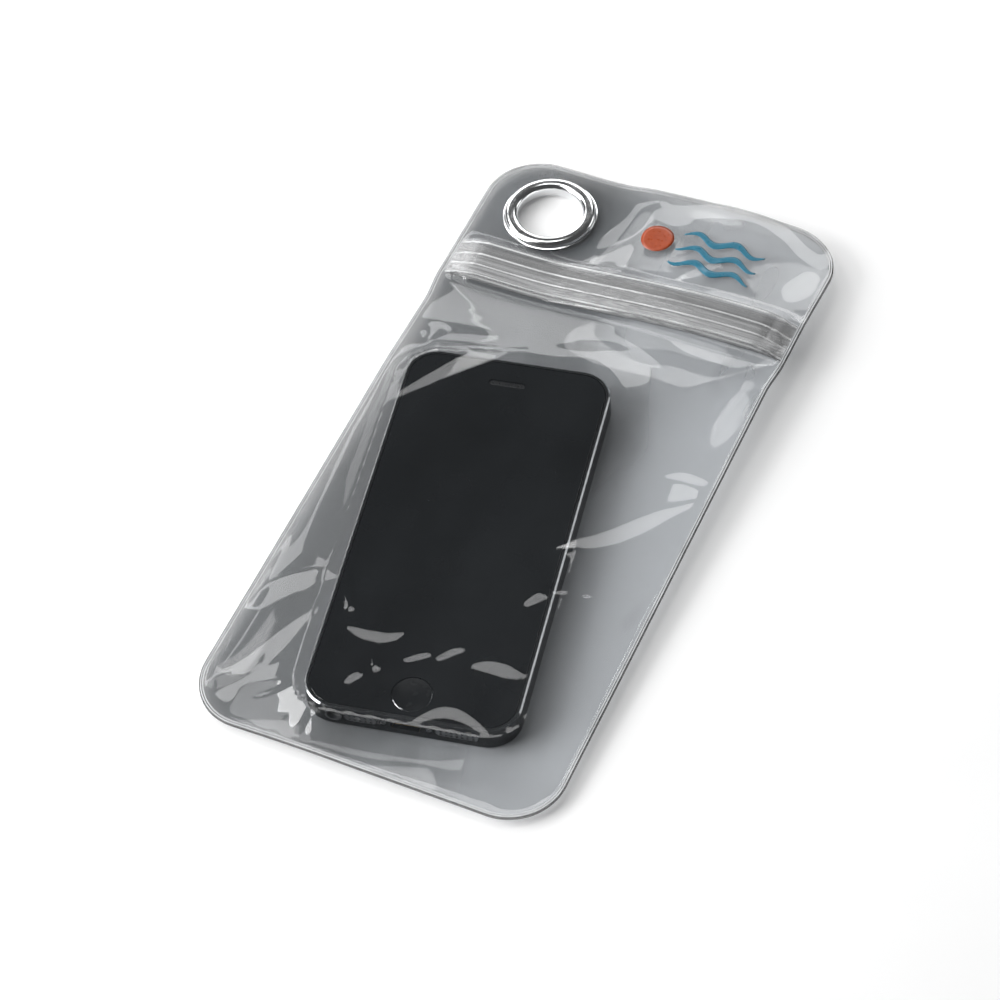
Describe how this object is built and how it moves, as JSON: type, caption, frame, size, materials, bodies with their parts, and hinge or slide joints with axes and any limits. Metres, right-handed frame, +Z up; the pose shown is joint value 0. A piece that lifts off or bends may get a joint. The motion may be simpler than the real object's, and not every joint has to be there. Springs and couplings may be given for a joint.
{
  "type": "waterproof phone pouch",
  "caption": "Flat pouch of clear welded film with a press-seal mouth and a chromed eyelet in its header, shut over a slim handset that lies askew inside it.",
  "frame": {"origin": "on the floor under the middle of the pouch's bounding box", "axes": "+Y along the pouch towards the header and the eyelet, +Z up off the floor out of the front sheet, +X to the right seen from the front"},
  "size_m": [0.107, 0.215, 0.0118],
  "materials": {
    "film": "clear soft film, glossy, lightly wrinkled",
    "zip": "milky translucent extruded strip",
    "eyelet": "polished plating",
    "handset_metal": "dark anodised, satin, with bright cut chamfers",
    "handset_glass": "black glass, polished",
    "handset_cover": "dark anodised, satin",
    "handset_button": "black, polished, dished",
    "handset_mesh": "dark drilled plate",
    "handset_contact": "plated contact tongue",
    "handset_screw": "small cross-slot screw",
    "handset_lens": "dark camera window",
    "handset_flash": "pale flash window"
  },
  "bodies": {
    "pouch": {"back_sheet": "film", "front_sheet": "film", "zip_rib_strip": "zip", "zip_groove_strip": "zip", "eyelet_barrel": "eyelet", "eyelet_washer": "eyelet", "handset_chassis": "handset_metal", "handset_front_glass": "handset_glass", "handset_back_cover": "handset_cover", "handset_earpiece_mesh": "handset_mesh", "handset_left_grille": "handset_mesh", "handset_right_grille": "handset_mesh", "handset_audio_socket": "handset_mesh", "handset_charge_contact": "handset_contact", "handset_left_screw": "handset_screw", "handset_right_screw": "handset_screw", "handset_rear_lens": "handset_lens", "handset_flash_lens": "handset_flash"},
    "home_button": {"handset_home_button": "handset_button"},
    "volume_up_button": {"handset_volume_up_button": "handset_metal"},
    "volume_down_button": {"handset_volume_down_button": "handset_metal"},
    "power_button": {"handset_power_button": "handset_metal"}
  },
  "joints": [
    {"name": "home_press", "type": "slide", "parent": "pouch", "child": "home_button", "axis": [0, 0, 1], "range_m": [-0.0003, 0], "stiffness_N_per_m": 400},
    {"name": "volume_up_press", "type": "slide", "parent": "pouch", "child": "volume_up_button", "axis": [0.9816, 0.1908, 0], "range_m": [0, 0.0003], "stiffness_N_per_m": 400},
    {"name": "volume_down_press", "type": "slide", "parent": "pouch", "child": "volume_down_button", "axis": [0.9816, 0.1908, 0], "range_m": [0, 0.0003], "stiffness_N_per_m": 400},
    {"name": "power_press", "type": "slide", "parent": "pouch", "child": "power_button", "axis": [0.1908, -0.9816, 0], "range_m": [0, 0.0003], "stiffness_N_per_m": 400}
  ]
}
